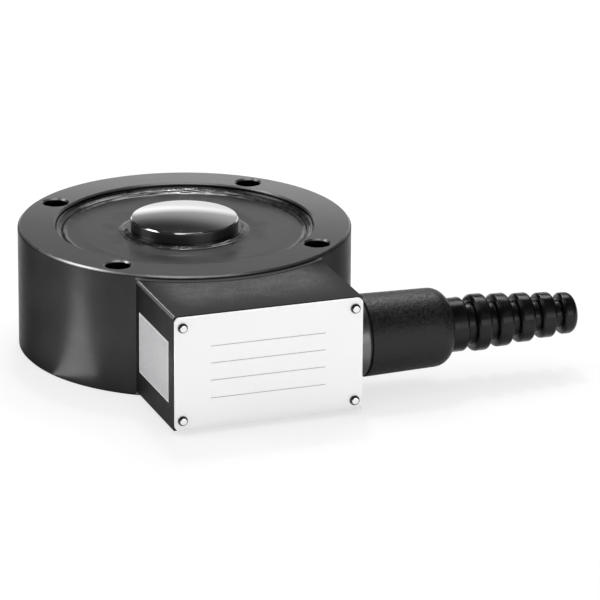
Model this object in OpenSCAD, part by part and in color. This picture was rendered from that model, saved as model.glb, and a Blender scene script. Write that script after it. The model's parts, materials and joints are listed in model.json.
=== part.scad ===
// Low-profile compression load cell with a junction block and a ribbed strain relief.
// Millimetres. +Z is up, the origin is the centre of the base circle, the block and its
// cover plate face -Y, and the cable leaves towards +X.

/* [Body ring] */
// Outside diameter of the body ring
ring_d = 120; // [114:1:140]
// Height of the body ring
ring_h = 45; // [42:0.5:55]
// Chamfer on the outer edges of the ring
ring_chamfer = 0.8; // [0.3:0.1:1.5]
// Width of the flat land between the recess and the outside
land_w = 13.5; // [13:0.25:15]
// Chamfer on the edge of the top recess
recess_chamfer = 0.5; // [0.2:0.1:0.9]

/* [Mounting holes] */
// Distance of the hole circle in from the outside of the ring
bolt_edge = 7.5; // [6.5:0.25:8]
// Diameter of the four mounting holes
bolt_hole_d = 9; // [6.6:0.2:9.8]
// Chamfer at the upper ends of the mounting holes
bolt_chamfer = 0.6; // [0.2:0.1:0.8]

/* [Webs and hub] */
// Thickness of the four radial webs
web_t = 12; // [9:0.5:15]
// Radius of the fillets where the webs meet the hub and the ring
web_fillet = 3; // [1.5:0.25:4]
// Diameter of the hub between the webs
hub_d = 45; // [44:0.5:48]
// How far the boss in the diaphragm stands out past the button
boss_step = 1.15; // [0.65:0.05:2]
// Height of the boss above the diaphragm
boss_rise = 1.1; // [0.8:0.1:2]
// Gap between the hub and the bottom cover
hub_relief = 1; // [0.5:0.1:2]

/* [Diaphragm and sealant] */
// Depth of the diaphragm's face below the land
diaphragm_drop = 2.9; // [2:0.1:4]
// Thickness of the diaphragm
diaphragm_t = 1; // [0.5:0.1:1.5]
// Width of the ledge that the diaphragm rests on
seat_w = 2.8; // [2:0.1:3.5]
// Width of the sealant groove round the diaphragm
groove_w = 4.2; // [3:0.1:5]
// Height of the rim sealant where it meets the recess wall
rim_bead_h = 2.4; // [1.6:0.1:2.8]
// Width of the sealant bead round the button's foot
foot_bead_w = 3.6; // [2:0.1:6]

/* [Load button] */
// Diameter of the load button
button_d = 38.7; // [30:0.1:40]
// Height of the button's side wall
button_wall = 4; // [3:0.1:6]
// Radius of the button's domed face
dome_r = 120; // [80:5:200]
// Chamfer between the side wall and the dome
button_chamfer = 0.4; // [0.2:0.1:0.8]
// Diameter of the button's stem
stem_d = 16; // [12:1:20]
// Length of the button's stem
stem_len = 14; // [10:0.5:20]

/* [Bottom cover] */
// Thickness of the bottom cover
cover_t = 1.5; // [1:0.1:2.5]
// Depth of the bottom cover's face above the base
cover_inset = 0.5; // [0.2:0.1:1]
// Width of the ledge that the bottom cover rests on
cover_ledge = 6.5; // [6:0.1:7.5]
// Number of bottom cover screws
cover_screw_n = 8; // [4:4:12]
// Diameter of the bottom cover screws
cover_screw_d = 2.5; // [2:0.1:3]
// Length of the bottom cover screws
cover_screw_len = 7; // [5:0.5:10]

/* [Junction block] */
// Width of the block
block_w = 69; // [66:0.5:74]
// How far the block's front face stands out from the ring
block_reach = 30; // [27:0.5:36]
// Height of the block's underside above the base
block_lift = 1.5; // [0.5:0.1:3]
// Depth of the block's top below the top of the ring
block_drop = 2; // [1:0.1:3]
// Chamfer on the block's long edges
block_chamfer = 0.4; // [0.2:0.1:1]
// Thickness of the block's side walls beside its pocket
side_wall = 9; // [8:0.5:10]
// Height of the block's pocket
pocket_h = 18; // [17:0.25:20]
// Corner radius of the block's pocket
pocket_r = 4; // [2:0.5:5]
// Wall between the pocket's floor and the ring
floor_wall = 4; // [3:0.25:6]
// Thickness of the gasket between the block and the ring
saddle_gasket_t = 0.4; // [0.2:0.1:1]
// Diameter of the wiring port from the ring into the pocket
port_d = 8; // [6:0.5:9]

/* [Block screws] */
// Diameter of the block screws
block_screw_d = 4; // [3:0.5:4.5]
// Gap between a block screw's head and the board post beside it
head_post_gap = 1.7; // [0.5:0.1:3]
// Gap between a block screw's head and the top or bottom of the pocket
head_wall_gap = 0.5; // [0.2:0.1:1]
// Length of the block screws under the head
block_screw_len = 15; // [13:0.5:18]

/* [Cover plate] */
// Thickness of the cover plate
plate_t = 1; // [0.6:0.1:2]
// Margin between the plate's edge and the block's edge
plate_margin = 0.3; // [0.2:0.1:1]
// Corner radius of the cover plate
plate_r = 1.8; // [1:0.1:3]
// Thickness of the gasket under the cover plate
plate_gasket_t = 0.4; // [0.2:0.1:1]
// Distance of the plate screws in from the plate's left and right edges
plate_screw_in = 2.8; // [2.6:0.1:4]
// Distance of the plate screws in from the plate's upper and lower edges
plate_screw_drop = 3.6; // [2.6:0.1:5]
// Diameter of the plate screws
plate_screw_d = 2; // [1.6:0.1:2.4]
// Diameter of the plate screws' round heads
plate_head_d = 3.5; // [3:0.1:4]
// Height of the plate screws' round heads
plate_head_h = 1.2; // [0.8:0.1:1.6]
// Length of the plate screws under the head
plate_screw_len = 7; // [5:0.5:10]

/* [Side label] */
// Length of the label on the block's left side
label_l = 32; // [20:0.5:34]
// Height of the label
label_h = 22; // [12:0.5:30]
// Thickness of the label
label_t = 0.2; // [0.1:0.05:0.4]
// Distance of the label from the block's front face
label_front = 4.4; // [1:0.1:5]
// Height of the label's lower edge above the block's underside
label_lift = 9; // [3:0.1:10]

/* [Circuit board] */
// Gap between each end of the circuit board and the pocket
board_end_gap = 2; // [1:0.25:3]
// Gap between the circuit board and the pocket, above and below
board_edge_gap = 1.5; // [0.75:0.25:2]
// Thickness of the circuit board
board_t = 1.6; // [1:0.1:2.4]
// Height of the posts that carry the board
post_h = 8; // [7:0.25:10]
// Diameter of the posts
post_d = 5.2; // [4.5:0.1:6]
// Distance of the posts in from the ends of the board
post_end = 3.2; // [2.8:0.1:4]
// Distance of the posts in from the upper edge of the board
post_edge = 3.1; // [2.8:0.1:4.5]
// Radius of the board's corners
board_r = 1; // [0.5:0.1:2]
// Diameter of the board screws
board_screw_d = 2; // [1.6:0.1:2.4]
// Length of the board screws in their posts
board_screw_grip = 5; // [3:0.5:6]
// Diameter of the trimming resistors
resistor_d = 2.2; // [1.6:0.1:3]
// Length of the trimming resistors
resistor_l = 6; // [4:0.5:8]
// Distance between the trimming resistors
resistor_pitch = 6; // [4:0.5:8]

/* [Strain gauges] */
// Distance between a strain gauge and the fillet at either end of its web
gauge_margin = 1.8; // [0.5:0.1:3]
// Height of a strain gauge
gauge_h = 8; // [5:0.5:10]
// Thickness of a strain gauge
gauge_t = 0.3; // [0.2:0.05:0.5]
// Length of a solder terminal
terminal_l = 5; // [3:0.5:6]
// Height of a solder terminal
terminal_h = 3; // [2:0.25:4]
// Thickness of a solder terminal
terminal_t = 0.6; // [0.4:0.1:1]
// Gap between a gauge and the terminal under it
terminal_gap = 1; // [0.5:0.25:2]
// Diameter of the wire loom
loom_d = 2.4; // [1.6:0.1:3]
// Height of the wire loom above the base
loom_z = 9; // [7:0.25:10]
// Distance of the wire loom outwards from the middle of the wells
loom_shift = 2; // [1:0.25:3]
// Radial space round the wire loom in the webs
loom_space = 1; // [0.5:0.1:1.5]
// Diameter of the wires that run out to the board
branch_d = 3; // [2.4:0.1:3.6]

/* [Gland] */
// Diameter of the gland's collar
collar_d = 29; // [27:0.1:30]
// Length of the collar outside the block
collar_len = 6.1; // [5:0.1:9]
// Diameter of the wire bore through the collar
collar_bore_d = 10; // [9:0.25:12]
// Diameter of the collar's rear spigot, in the block
rear_spigot_d = 16; // [14:0.25:17]
// Diameter of the collar's front spigot, in the housing
front_spigot_d = 22; // [20:0.25:23]
// Length of the collar's front spigot
front_spigot_len = 9; // [7:0.25:11]
// Thickness of the seal between collar and housing
collar_seal_t = 0.7; // [0.4:0.1:1.2]
// Depth of the seal below the collar's outside
collar_seal_inset = 0.5; // [0.2:0.1:1]
// Distance of the gland's axis below the middle of the block
gland_drop = 1.75; // [0.5:0.25:3]

/* [Gland housing] */
// Diameter of the housing next to the collar
housing_d = 29.3; // [28:0.1:31]
// Diameter of the housing where its shoulder starts
housing_end_d = 28.1; // [27:0.1:29]
// Overall length of the housing
housing_len = 33; // [32:0.1:40]
// Radius of the housing's round shoulder
shoulder_r = 6.6; // [4:0.1:7]
// Length of the housing's wider bore
housing_bore_len = 25.2; // [23.5:0.1:27]
// Length of the clamp ring
clamp_ring_len = 4; // [3:0.25:5]
// Radial play of the strain relief in the housing's outlet
outlet_play = 0.1; // [0.05:0.05:0.3]

/* [Strain relief] */
// Diameter of the cable that the strain relief takes
cable_d = 8; // [5:0.25:8.5]
// Length of the strain relief's flange inside the housing
boot_flange_len = 4.4; // [3:0.1:5]
// Radius on the strain relief's inner end
boot_inner_round = 0.5; // [0.2:0.1:1]
// Diameter of the plain stretch next to the housing
boot_root_d = 19.4; // [17:0.1:20.4]
// Length of the plain stretch outside the housing's outlet
boot_root_len = 5.7; // [3:0.1:7]
// Number of ribs
rib_n = 5; // [3:1:8]
// Wall of the strain relief round the cable at its first neck
neck_wall = 3.65; // [3.2:0.05:4.5]
// How much narrower the last rib is than the first
boot_taper = 5.4; // [2:0.2:6]
// Width of a rib
rib_w = 5.7; // [4:0.1:7]
// Width of the neck between two ribs
neck_w = 2.8; // [2:0.1:4]
// Depth of the necks below the ribs
neck_depth = 2.5; // [1.5:0.1:2.7]
// Radius on the edges of the ribs
rib_round = 1.3; // [0.5:0.1:1.5]
// Length of the last rib
end_rib_w = 5.7; // [5.2:0.1:10]
// Radius on the last rib's outer edge
end_round = 2.8; // [1.5:0.1:3.4]

/* [Fits] */
// Radial play of screws and spigots in their holes
thread_play = 0.05; // [0.02:0.01:0.1]
// Radial play of covers in their seats
seat_play = 0.15; // [0.05:0.05:0.3]
// Radial play of screws in the pieces that they clamp
hole_play = 0.2; // [0.1:0.05:0.3]
// Radial space between the clamp ring and the cable
clamp_space = 0.5; // [0.3:0.1:1]

/* [Hidden] */
$fn = 96;
WEBS = 4;
FIRST_WEB = 45;
RESISTORS = 4;
CUT = 1;
FILLET_NIP = 0.02;

// Radii and heights of the body ring
ring_r = ring_d / 2;
recess_r = ring_r - land_w;
bolt_circle_r = ring_r - bolt_edge;
diaphragm_r = recess_r - groove_w;
well_r = diaphragm_r - seat_w;
diaphragm_z = ring_h - diaphragm_drop;
seat_z = diaphragm_z - diaphragm_t;
boss_d = button_d + 2 * boss_step;
boss_z = diaphragm_z + boss_rise;
cover_z = cover_inset + cover_t;
cover_r = well_r + cover_ledge;
hub_z = cover_z + hub_relief;

// Webs: where the circles of their fillets stand, and the flat of their sides between those
web_mid_z = (hub_z + seat_z) / 2;
fillet_side = web_t / 2 + web_fillet - FILLET_NIP;
fillet_hub_reach = hub_d / 2 + web_fillet - FILLET_NIP;
fillet_wall_reach = well_r - web_fillet + FILLET_NIP;
fillet_hub_x = sqrt(pow(fillet_hub_reach, 2) - pow(fillet_side, 2));
fillet_wall_x = sqrt(pow(fillet_wall_reach, 2) - pow(fillet_side, 2));
gauge_x = (fillet_hub_x + fillet_wall_x) / 2;
gauge_l = fillet_wall_x - fillet_hub_x - 2 * gauge_margin;

// Places of the junction block and its pocket
block_front = -(ring_r + block_reach);
block_bottom = block_lift;
block_top = ring_h - block_drop;
block_mid = (block_bottom + block_top) / 2;
saddle_r = ring_r + saddle_gasket_t;
pocket_w = block_w - 2 * side_wall;
pocket_floor = -(ring_r + floor_wall);
board_back = pocket_floor - post_h;
board_front = board_back - board_t;

// Heads and keys of the small screws, in proportion to their diameters
board_head_d = 1.9 * board_screw_d;
board_head_h = 0.7 * board_screw_d;
block_head_d = 1.75 * block_screw_d;
block_key_d = 0.86 * block_screw_d;
cover_key_d = 0.8 * cover_screw_d;
cover_key_depth = 0.24 * cover_screw_d;

// The board in the pocket, its posts, and the block screws beside them
board_l = pocket_w - 2 * board_end_gap;
board_h = pocket_h - 2 * board_edge_gap;
post_dx = board_l / 2 - post_end;
post_dz = board_h / 2 - post_edge;
block_screw_dx = post_dx - post_d / 2 - head_post_gap - block_head_d / 2;
block_screw_dz = pocket_h / 2 - head_wall_gap - block_head_d / 2;

// Places of the cover plate
plate_w = block_w - 2 * plate_margin;
plate_h = block_top - block_bottom - 2 * plate_margin;
plate_back = block_front - plate_gasket_t;
plate_front = plate_back - plate_t;

// Places along the gland's axis
gland_y = pocket_floor - collar_bore_d / 2;
gland_z = block_mid - gland_drop;
collar_x0 = block_w / 2;
collar_x1 = collar_x0 + collar_len;
housing_x0 = collar_x1 + collar_seal_t;
housing_x1 = housing_x0 + housing_len;
housing_bore_x1 = housing_x0 + housing_bore_len;
housing_bore_r = front_spigot_d / 2 + thread_play;
spigot_x1 = collar_x1 + front_spigot_len;
clamp_x1 = spigot_x1 + clamp_ring_len;
boot_x0 = housing_bore_x1 - boot_flange_len;
boot_root_r = boot_root_d / 2;
outlet_r = boot_root_r + outlet_play;
root_x1 = housing_x1 + boot_root_len;

// Wiring inside the ring
loom_r = (hub_d / 2 + well_r) / 2 + loom_shift;
loom_hole_r = loom_d / 2 + loom_space;

function rib_x(i) = root_x1 + neck_w + i * (rib_w + neck_w);
function neck_r(i) = (cable_d - boot_taper * i / (rib_n - 1)) / 2 + neck_wall;
function rib_r(i) = neck_r(i) + neck_depth;
boot_x1 = rib_x(rib_n - 1) + end_rib_w;

// Turns children drawn along Z so that they run along the gland's axis
module on_gland_axis() {
    translate([0, gland_y, gland_z]) rotate([0, 90, 0]) children();
}

// Puts children drawn along Z on the block, running into it from the front
module into_block(x, y, z) {
    translate([x, y, z]) rotate([-90, 0, 0]) children();
}

// Repeats children at each of the four block screws
module at_block_screws() {
    for (sx = [-1, 1], sz = [-1, 1])
        into_block(sx * block_screw_dx, pocket_floor, block_mid + sz * block_screw_dz) children();
}

// Repeats children at each of the two board posts
module at_posts(y) {
    for (sx = [-1, 1]) into_block(sx * post_dx, y, block_mid + post_dz) children();
}

// Repeats children at each corner screw of the cover plate
module at_plate_screws(y) {
    for (sx = [-1, 1], sz = [-1, 1])
        into_block(sx * (plate_w / 2 - plate_screw_in), y,
                   block_mid + sz * (plate_h / 2 - plate_screw_drop))
            children();
}

// A rectangle with true round corners, centred
module round_rect(w, h, r) {
    square([w - 2 * r, h], center = true);
    square([w, h - 2 * r], center = true);
    for (sx = [-1, 1], sy = [-1, 1])
        translate([sx * (w / 2 - r), sy * (h / 2 - r)]) circle(r);
}

// One web in plan, along +X, with fillets against the hub and the well's wall. Each fillet's
// circle runs a hair into the faces that it joins, so that they cross instead of just touching.
module web_plan() {
    translate([0, -web_t / 2]) square([well_r + CUT, web_t]);
    for (s = [0, 1]) mirror([0, s]) {
        web_fillet_plan(fillet_hub_x, (hub_d / 2 - CUT) / fillet_hub_reach);
        web_fillet_plan(fillet_wall_x, (well_r + CUT) / fillet_wall_reach);
    }
}

// What a fillet adds beside the web. Its circle stands at x along the web, and k carries the
// circle's centre along the radius into the hub or the wall.
module web_fillet_plan(x, k) {
    y = fillet_side;
    y0 = web_t / 2 - CUT;
    difference() {
        polygon([[x, y0], [x, y], [x * k, y * k], [x * k, y0]]);
        translate([x, y]) circle(web_fillet);
    }
}

// The four quarter-round openings between hub, webs and ring
module well_plan() {
    difference() {
        circle(well_r);
        circle(hub_d / 2);
        for (i = [0 : WEBS - 1]) rotate(FIRST_WEB + i * 360 / WEBS) web_plan();
    }
}

// A through hole from z = 0 to z = h, with a chamfer at its upper end
module chamfered_hole(r, h, c) {
    translate([0, 0, -CUT]) cylinder(r = r, h = h + 2 * CUT);
    translate([0, 0, h - c]) cylinder(r1 = r, r2 = r + c + CUT, h = c + CUT);
}

// Outline of the ring blank from its axis out, turned about Z
module ring_blank() {
    rotate_extrude() polygon([
        [0, hub_z], [well_r, hub_z], [well_r, cover_z], [cover_r, cover_z], [cover_r, 0],
        [ring_r - ring_chamfer, 0], [ring_r, ring_chamfer],
        [ring_r, ring_h - ring_chamfer], [ring_r - ring_chamfer, ring_h],
        [recess_r + recess_chamfer, ring_h], [recess_r, ring_h - recess_chamfer],
        [recess_r, seat_z], [boss_d / 2, seat_z], [boss_d / 2, boss_z], [0, boss_z]]);
}

module spring_element() color([0.20, 0.20, 0.21]) difference() {
    ring_blank();
    translate([0, 0, -CUT]) linear_extrude(seat_z + 2 * CUT) well_plan();
    for (i = [0 : WEBS - 1]) rotate(FIRST_WEB + i * 360 / WEBS) {
        translate([bolt_circle_r, 0, 0]) chamfered_hole(bolt_hole_d / 2, ring_h, bolt_chamfer);
        translate([loom_r, 0, loom_z]) rotate([90, 0, 0])
            cylinder(r = loom_hole_r, h = web_t + 4 * web_fillet, center = true);
    }
    translate([0, 0, boss_z - stem_len - CUT])
        cylinder(d = stem_d + 2 * thread_play, h = stem_len + 2 * CUT);
    translate([0, 0, block_mid]) rotate([90, 0, 0]) translate([0, 0, hub_d / 2 + CUT])
        cylinder(d = port_d, h = ring_r);
    at_block_screws() cylinder(d = block_screw_d + 2 * thread_play, h = block_screw_len + CUT);
    at_cover_screws() translate([0, 0, cover_z - CUT])
        cylinder(d = cover_screw_d + 2 * thread_play, h = cover_screw_len);
}

module at_cover_screws() {
    for (i = [0 : cover_screw_n - 1]) rotate((i + 0.5) * 360 / cover_screw_n)
        translate([(well_r + cover_r) / 2, 0, 0]) children();
}

// Side wall, chamfer and spherical face of the button, with its stem
module load_button() color([0.86, 0.87, 0.89]) {
    r = button_d / 2;
    rim_r = r - button_chamfer;
    rim_z = boss_z + button_wall;
    sag = dome_r - sqrt(dome_r * dome_r - rim_r * rim_r);
    union() {
        intersection() {
            rotate_extrude() polygon([
                [0, boss_z], [r, boss_z], [r, rim_z - button_chamfer], [rim_r, rim_z],
                [rim_r, rim_z + sag + CUT], [0, rim_z + sag + CUT]]);
            rotate_extrude() intersection() {
                translate([0, rim_z + sag - dome_r]) circle(dome_r, $fn = 360);
                translate([0, boss_z - CUT]) square([r + CUT, button_wall + sag + 2 * CUT]);
            }
        }
        translate([0, 0, boss_z - stem_len]) cylinder(d = stem_d, h = stem_len + CUT);
    }
}

module top_diaphragm() color([0.22, 0.22, 0.23]) translate([0, 0, seat_z]) difference() {
    cylinder(r = diaphragm_r, h = diaphragm_t);
    translate([0, 0, -CUT]) cylinder(r = boss_d / 2 + seat_play, h = diaphragm_t + 2 * CUT);
}

// A bead that climbs from the diaphragm's edge up the wall of the recess
module rim_sealant() color([0.06, 0.06, 0.06]) rotate_extrude() difference() {
    translate([diaphragm_r, seat_z]) square([groove_w, rim_bead_h]);
    translate([diaphragm_r, seat_z + diaphragm_t + groove_w]) circle(groove_w);
}

// A bead that fills the corner between the diaphragm and the boss
module button_sealant() color([0.06, 0.06, 0.06]) rotate_extrude() {
    foot_r = boss_d / 2;
    bead_h = boss_rise - thread_play;
    polygon(concat([[foot_r, diaphragm_z]],
        [for (a = [0 : 15 : 90]) [foot_r + foot_bead_w * cos(a), diaphragm_z + bead_h * sin(a)]]));
}

module bottom_cover() color([0.45, 0.46, 0.48]) difference() {
    translate([0, 0, cover_inset]) cylinder(r = cover_r - seat_play, h = cover_t);
    at_cover_screws() translate([0, 0, cover_inset]) {
        translate([0, 0, -CUT]) cylinder(d = cover_screw_d + 2 * thread_play, h = cover_t + 2 * CUT);
        countersink();
    }
}

// Cone of a countersunk head, widest at z = 0
module countersink() {
    cylinder(r1 = cover_screw_d, r2 = cover_screw_d / 2, h = cover_screw_d / 2);
}

module bottom_cover_screws() color([0.70, 0.71, 0.72])
    at_cover_screws() translate([0, 0, cover_inset]) difference() {
        union() {
            countersink();
            cylinder(d = cover_screw_d, h = cover_screw_len);
        }
        translate([0, 0, -CUT]) cylinder(d = cover_key_d, h = CUT + cover_key_depth, $fn = 6);
    }

// Gauge i is bonded to one side of its web: odd numbers on one side, even on the other
module strain_gauge(i) color([0.80, 0.55, 0.20]) {
    side = i % 2 == 0 ? 1 : -1;
    rotate(FIRST_WEB + floor((i - 1) / 2) * 360 / WEBS)
        translate([gauge_x, side * (web_t + gauge_t) / 2, web_mid_z])
            cube([gauge_l, gauge_t, gauge_h], center = true);
}

module solder_terminal(i) color([0.75, 0.60, 0.35])
    rotate(FIRST_WEB + (i - 1) * 360 / WEBS)
        translate([gauge_x, -(web_t + terminal_t) / 2,
                   web_mid_z - gauge_h / 2 - terminal_gap - terminal_h / 2])
            cube([terminal_l, terminal_t, terminal_h], center = true);

// A ring of wires through the webs, with a branch out through the port to the board
module wire_loom() color([0.55, 0.12, 0.10]) {
    union() {
        translate([0, 0, loom_z]) rotate_extrude() translate([loom_r, 0]) circle(d = loom_d);
        translate([0, -loom_r, loom_z]) cylinder(d = loom_d, h = block_mid - loom_z);
        translate([0, -loom_r, block_mid]) sphere(d = branch_d);
        translate([0, -loom_r, block_mid]) rotate([90, 0, 0])
            cylinder(d = branch_d, h = -board_back - loom_r);
    }
}

module block_gasket() color([0.05, 0.05, 0.05]) difference() {
    intersection() {
        cylinder(r = saddle_r, h = ring_h);
        translate([-block_w / 2, -saddle_r - CUT, block_bottom])
            cube([block_w, saddle_r, block_top - block_bottom]);
    }
    translate([0, 0, -CUT]) cylinder(r = ring_r, h = ring_h + 2 * CUT);
    block_passages();
}

// The wiring port and the screw holes that pass through block and gasket
module block_passages() {
    into_block(0, pocket_floor - CUT, block_mid) cylinder(d = port_d, h = ring_r);
    at_block_screws() translate([0, 0, -CUT])
        cylinder(d = block_screw_d + 2 * hole_play, h = block_screw_len);
}

// The pocket with round corners, from the front face to its floor
module pocket() {
    into_block(0, block_front - CUT, block_mid)
        linear_extrude(pocket_floor - block_front + CUT) round_rect(pocket_w, pocket_h, pocket_r);
}

module junction_block() color([0.21, 0.21, 0.22]) difference() {
    union() {
        difference() {
            into_block(0, block_front, block_mid) linear_extrude(block_reach + ring_r)
                block_section();
            translate([0, 0, -CUT]) cylinder(r = saddle_r, h = ring_h + 2 * CUT);
            pocket();
        }
        at_posts(board_back) cylinder(d = post_d, h = post_h + CUT);
    }
    block_passages();
    at_posts(board_back - CUT)
        cylinder(d = board_screw_d + 2 * thread_play, h = board_screw_grip + 2 * CUT);
    at_plate_screws(block_front - CUT)
        cylinder(d = plate_screw_d + 2 * thread_play, h = plate_screw_len + CUT);
    on_gland_axis() translate([0, 0, pocket_w / 2 - CUT])
        cylinder(d = rear_spigot_d + 2 * thread_play, h = side_wall + 2 * CUT);
}

// Front view of the block, with its four long edges chamfered
module block_section() {
    w = block_w / 2;
    h = (block_top - block_bottom) / 2;
    c = block_chamfer;
    polygon([[-w + c, -h], [w - c, -h], [w, -h + c], [w, h - c],
             [w - c, h], [-w + c, h], [-w, h - c], [-w, -h + c]]);
}

module block_screws() color([0.30, 0.30, 0.31]) at_block_screws() difference() {
    union() {
        cylinder(d = block_screw_d, h = block_screw_len);
        translate([0, 0, -block_screw_d]) cylinder(d = block_head_d, h = block_screw_d);
    }
    translate([0, 0, -block_screw_d - CUT])
        cylinder(d = block_key_d, h = block_screw_d / 2 + CUT, $fn = 6);
}

module circuit_board() color([0.10, 0.38, 0.20]) difference() {
    into_block(0, board_front, block_mid) linear_extrude(board_t) round_rect(board_l, board_h, board_r);
    at_posts(board_front - CUT) cylinder(d = board_screw_d + 2 * hole_play, h = board_t + 2 * CUT);
}

module board_screws() color([0.75, 0.75, 0.76]) at_posts(board_front) {
    translate([0, 0, -board_head_h]) cylinder(d = board_head_d, h = board_head_h);
    cylinder(d = board_screw_d, h = board_t + board_screw_grip);
}

module trim_resistor(i) color([0.75, 0.68, 0.50])
    translate([(i - (RESISTORS + 1) / 2) * resistor_pitch, board_front - resistor_d / 2,
               block_mid - resistor_l / 2])
        cylinder(d = resistor_d, h = resistor_l);

module plate_gasket() color([0.05, 0.05, 0.05]) difference() {
    into_block(0, plate_back, block_mid) linear_extrude(plate_gasket_t) difference() {
        round_rect(plate_w, plate_h, plate_r);
        round_rect(pocket_w, pocket_h, pocket_r);
    }
    at_plate_screws(plate_back - CUT)
        cylinder(d = plate_screw_d + 2 * hole_play, h = plate_gasket_t + 2 * CUT);
}

module cover_plate() color([0.88, 0.88, 0.88]) difference() {
    into_block(0, plate_front, block_mid) linear_extrude(plate_t)
        round_rect(plate_w, plate_h, plate_r);
    at_plate_screws(plate_front - CUT)
        cylinder(d = plate_screw_d + 2 * hole_play, h = plate_t + 2 * CUT);
}

// Screws with round heads: each head is a cap of a sphere
module plate_screws() color([0.80, 0.80, 0.81]) {
    cap_r = (pow(plate_head_d / 2, 2) + plate_head_h * plate_head_h) / (2 * plate_head_h);
    at_plate_screws(plate_front) union() {
        cylinder(d = plate_screw_d, h = plate_screw_len);
        rotate_extrude() intersection() {
            translate([0, cap_r - plate_head_h]) circle(cap_r);
            translate([0, -plate_head_h - CUT]) square([plate_head_d, plate_head_h + CUT]);
        }
    }
}

module side_label() color([0.75, 0.75, 0.75])
    translate([-block_w / 2 - label_t, block_front + label_front, block_bottom + label_lift])
        cube([label_t, label_l, label_h]);

module gland_collar() color([0.62, 0.63, 0.65]) on_gland_axis() difference() {
    union() {
        translate([0, 0, pocket_w / 2]) cylinder(d = rear_spigot_d, h = side_wall + CUT);
        translate([0, 0, collar_x0]) cylinder(d = collar_d, h = collar_len);
        translate([0, 0, collar_x1 - CUT]) cylinder(d = front_spigot_d, h = front_spigot_len + CUT);
    }
    translate([0, 0, pocket_w / 2 - CUT])
        cylinder(d = collar_bore_d, h = spigot_x1 - pocket_w / 2 + 2 * CUT);
}

module collar_seal() color([0.03, 0.03, 0.03]) on_gland_axis()
    translate([0, 0, collar_x1]) difference() {
        cylinder(r = collar_d / 2 - collar_seal_inset, h = collar_seal_t);
        translate([0, 0, -CUT]) cylinder(r = housing_bore_r, h = collar_seal_t + 2 * CUT);
    }

// A tapered barrel whose outer end turns in over a true quarter round
module gland_housing() color([0.24, 0.24, 0.25]) on_gland_axis() rotate_extrude() {
    end_r = housing_end_d / 2;
    shoulder_x = housing_x1 - shoulder_r;
    round_r = end_r - shoulder_r;
    difference() {
        union() {
            polygon([[outlet_r, housing_x0], [housing_d / 2, housing_x0], [end_r, shoulder_x],
                     [outlet_r, shoulder_x]]);
            intersection() {
                union() {
                    translate([round_r, shoulder_x]) circle(shoulder_r);
                    translate([0, shoulder_x - CUT]) square([round_r, shoulder_r + CUT]);
                }
                translate([outlet_r, shoulder_x - CUT]) square([end_r, shoulder_r + CUT]);
            }
        }
        translate([0, housing_x0 - CUT]) square([housing_bore_r, housing_bore_len + CUT]);
    }
}

module clamp_ring() color([0.70, 0.71, 0.72]) on_gland_axis() translate([0, 0, spigot_x1]) difference() {
    cylinder(d = front_spigot_d, h = clamp_ring_len);
    translate([0, 0, -CUT]) cylinder(d = cable_d + 2 * clamp_space, h = clamp_ring_len + 2 * CUT);
}

module cable_seal() color([0.12, 0.12, 0.12]) on_gland_axis() translate([0, 0, clamp_x1]) difference() {
    cylinder(d = front_spigot_d, h = boot_x0 - clamp_x1);
    translate([0, 0, -CUT]) cylinder(d = cable_d, h = boot_x0 - clamp_x1 + 2 * CUT);
}

// Half section of one rib from x0 to x1, with round outer edges
module rib_section(x0, x1, r, round0, round1) {
    translate([0, x0 + round0]) square([r, x1 - x0 - round0 - round1]);
    translate([0, x0]) square([r - round0, round0 + CUT]);
    translate([0, x1 - round1 - CUT]) square([r - round1, round1 + CUT]);
    translate([r - round0, x0 + round0]) circle(round0);
    translate([r - round1, x1 - round1]) circle(round1);
}

// The boot: a flange in the housing, a plain root, then stepped ribs on a tapering core
module strain_relief() color([0.07, 0.07, 0.07]) on_gland_axis() rotate_extrude() difference() {
    union() {
        translate([0, boot_x0]) square([front_spigot_d / 2, boot_flange_len]);
        rib_section(boot_x0, root_x1, boot_root_r, boot_inner_round, rib_round);
        for (i = [0 : rib_n - 1]) {
            last = i == rib_n - 1;
            x1 = rib_x(i) + (last ? end_rib_w : rib_w);
            translate([0, rib_x(i) - neck_w - rib_round])
                square([neck_r(i), neck_w + 2 * rib_round]);
            rib_section(rib_x(i), x1, rib_r(i), rib_round, last ? end_round : rib_round);
        }
    }
    translate([-cable_d, boot_x0 - CUT])
        square([1.5 * cable_d, boot_x1 - boot_x0 + 2 * CUT]);
}

spring_element();
load_button();
top_diaphragm();
rim_sealant();
button_sealant();
bottom_cover();
bottom_cover_screws();
for (i = [1 : 2 * WEBS]) strain_gauge(i);
for (i = [1 : WEBS]) solder_terminal(i);
wire_loom();
block_gasket();
junction_block();
block_screws();
circuit_board();
board_screws();
for (i = [1 : RESISTORS]) trim_resistor(i);
plate_gasket();
cover_plate();
plate_screws();
side_label();
gland_collar();
collar_seal();
gland_housing();
clamp_ring();
cable_seal();
strain_relief();
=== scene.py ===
# %% [markdown]
# # A low-profile load cell under studio light
#
# The object is a compression load cell: a thick blackened steel ring with a bright
# domed load button, a junction block on its front, and a ribbed strain relief for the
# cable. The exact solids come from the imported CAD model. This script dresses them: it
# builds the turned and free-form surfaces anew, with rounded edges that catch light,
# gives every piece its finish, and sets up a floor, lights and a camera.

# %% Load the frame
import json
import math

import bmesh
import bpy
import numpy as np
from mathutils import Matrix, Vector


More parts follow.
